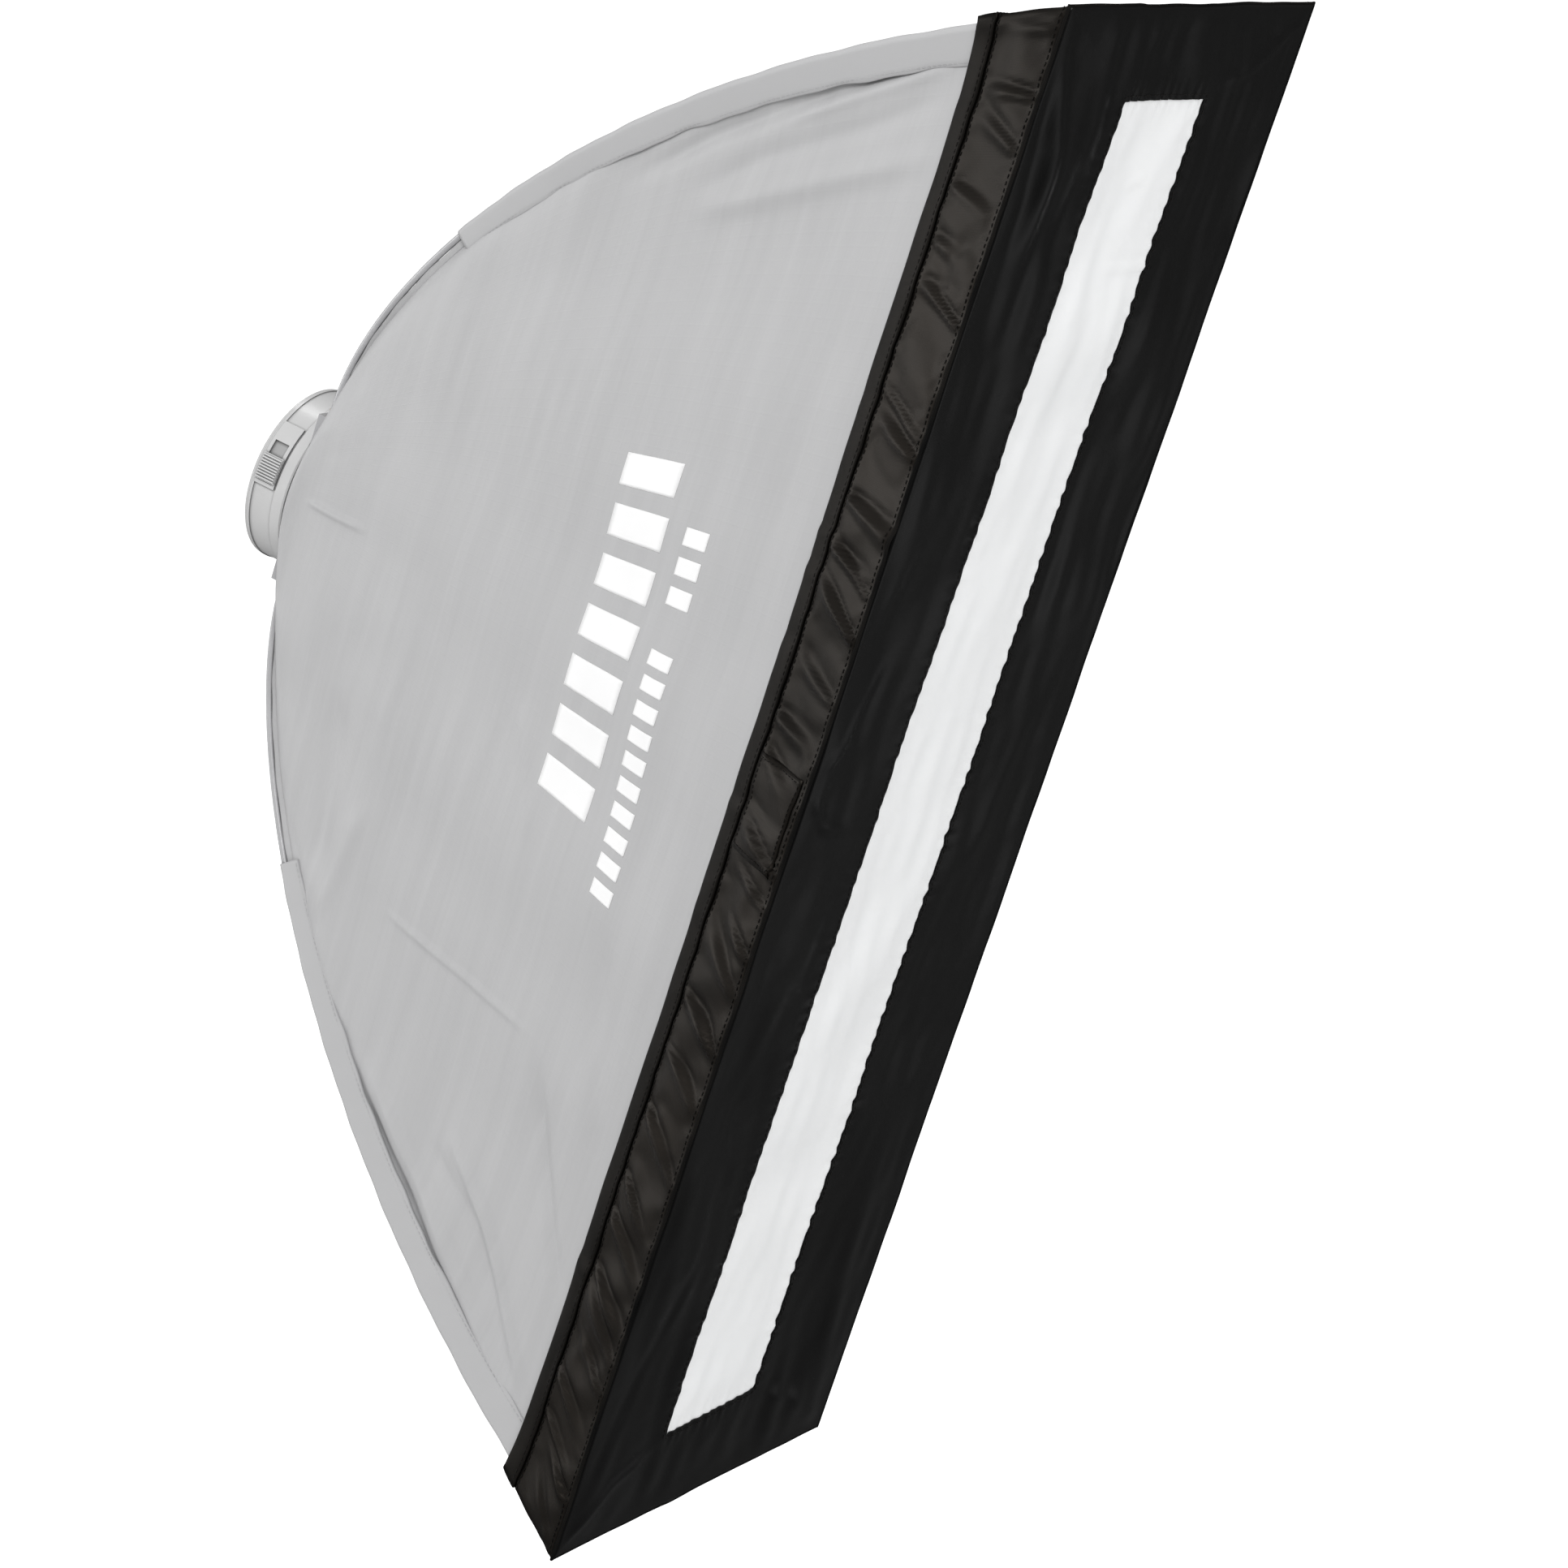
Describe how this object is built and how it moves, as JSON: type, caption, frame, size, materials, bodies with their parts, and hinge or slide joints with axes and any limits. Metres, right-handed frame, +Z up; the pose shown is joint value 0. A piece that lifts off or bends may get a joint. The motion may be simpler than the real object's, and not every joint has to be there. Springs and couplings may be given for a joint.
{
  "type": "strip softbox",
  "caption": "Long narrow softbox on four sprung rods, with a clamping speed ring behind and a black strip mask with a white slot in front.",
  "frame": {"origin": "centre of the speed ring's bore, in the ring's rear face", "axes": "+Y back along the bore, out towards the flash head; -Y forward to the lit face; +Z up along the long side; +X right for someone facing the lit face from behind the camera"},
  "size_m": [0.3048, 0.45, 0.9144],
  "materials": {
    "ring_plastic": null,
    "latch_plastic": "satin moulded plastic with ribs",
    "socket_plastic": "moulded plastic",
    "jaw_alloy": "machined aluminium",
    "grip_rubber": "soft rubber",
    "screw_steel": "zinc plated steel",
    "ferrule_brass": "turned brass",
    "rod_steel": "spring steel rod",
    "shell_fabric": null,
    "sleeve_fabric": "ripstop nylon sleeve",
    "webbing": "woven polyester webbing",
    "hook_tape": "hook-and-loop tape",
    "diffusion_fabric": "white translucent diffusion cloth",
    "mask_fabric": "black satin-faced polyester",
    "skirt_fabric": "black coated nylon, puckered at its seams"
  },
  "bodies": {
    "softbox": {"ring_body": "ring_plastic", "rear_bezel": "ring_plastic", "rod_socket_top_left": "socket_plastic", "rod_socket_top_right": "socket_plastic", "rod_socket_bottom_left": "socket_plastic", "rod_socket_bottom_right": "socket_plastic", "rod_tip_top_left": "grip_rubber", "rod_tip_top_right": "grip_rubber", "rod_tip_bottom_left": "grip_rubber", "rod_tip_bottom_right": "grip_rubber", "bezel_screws": "screw_steel", "socket_screws": "screw_steel", "baffle_snaps": "screw_steel", "rod_ferrule_top_left": "ferrule_brass", "rod_ferrule_top_right": "ferrule_brass", "rod_ferrule_bottom_left": "ferrule_brass", "rod_ferrule_bottom_right": "ferrule_brass", "spring_rod_top_left": "rod_steel", "spring_rod_top_right": "rod_steel", "spring_rod_bottom_left": "rod_steel", "spring_rod_bottom_right": "rod_steel", "shell_panel_left": "shell_fabric", "shell_panel_right": "shell_fabric", "shell_panel_top": "shell_fabric", "shell_panel_bottom": "shell_fabric", "rod_sleeve_top_left": "sleeve_fabric", "rod_sleeve_top_right": "sleeve_fabric", "rod_sleeve_bottom_left": "sleeve_fabric", "rod_sleeve_bottom_right": "sleeve_fabric", "corner_pocket_top_left": "webbing", "corner_pocket_top_right": "webbing", "corner_pocket_bottom_left": "webbing", "corner_pocket_bottom_right": "webbing", "baffle_strap_top_left": "webbing", "baffle_strap_top_right": "webbing", "baffle_strap_bottom_left": "webbing", "baffle_strap_bottom_right": "webbing", "shell_hook_tapes": "hook_tape", "diffuser_tapes": "hook_tape", "front_diffuser": "diffusion_fabric", "inner_baffle": "diffusion_fabric"},
    "mask": {"mask_front": "mask_fabric", "mask_window_strip": "diffusion_fabric", "mask_skirt": "skirt_fabric", "mask_loop_tapes": "hook_tape", "mask_tag": "skirt_fabric"},
    "lock_ring": {"lock_ring": "ring_plastic"},
    "latch": {"latch_slider": "latch_plastic"},
    "jaw_a": {"clamp_jaw_a": "jaw_alloy", "jaw_pad_a": "grip_rubber"},
    "jaw_b": {"clamp_jaw_b": "jaw_alloy", "jaw_pad_b": "grip_rubber"},
    "jaw_c": {"clamp_jaw_c": "jaw_alloy", "jaw_pad_c": "grip_rubber"}
  },
  "joints": [
    {"name": "lock_ring_turn", "type": "hinge", "parent": "softbox", "child": "lock_ring", "pos_m": [0, -0.0105, 0], "axis": [0, 1, 0], "range_deg": [0, 32]},
    {"name": "latch_slide", "type": "hinge", "parent": "lock_ring", "child": "latch", "pos_m": [0, -0.0105, 0], "axis": [0, 1, 0], "range_deg": [0, 9]},
    {"name": "jaw_a_slide", "type": "slide", "parent": "softbox", "child": "jaw_a", "axis": [0, 0, -1], "range_m": [0, 0.00231]},
    {"name": "jaw_b_slide", "type": "slide", "parent": "softbox", "child": "jaw_b", "axis": [0.866, 0, 0.5], "range_m": [0, 0.00231]},
    {"name": "jaw_c_slide", "type": "slide", "parent": "softbox", "child": "jaw_c", "axis": [-0.866, 0, 0.5], "range_m": [0, 0.00231]},
    {"name": "mask_pull", "type": "slide", "parent": "softbox", "child": "mask", "axis": [0, -1, 0], "range_m": [0, 0.12], "deforming": ["mask_skirt", "mask_loop_tapes"]}
  ],
  "couplings": [
    {"joint": "jaw_a_slide", "follows": "lock_ring_turn", "m_per_rad": 0.0041181},
    {"joint": "jaw_b_slide", "follows": "lock_ring_turn", "m_per_rad": 0.0041181},
    {"joint": "jaw_c_slide", "follows": "lock_ring_turn", "m_per_rad": 0.0041181}
  ]
}
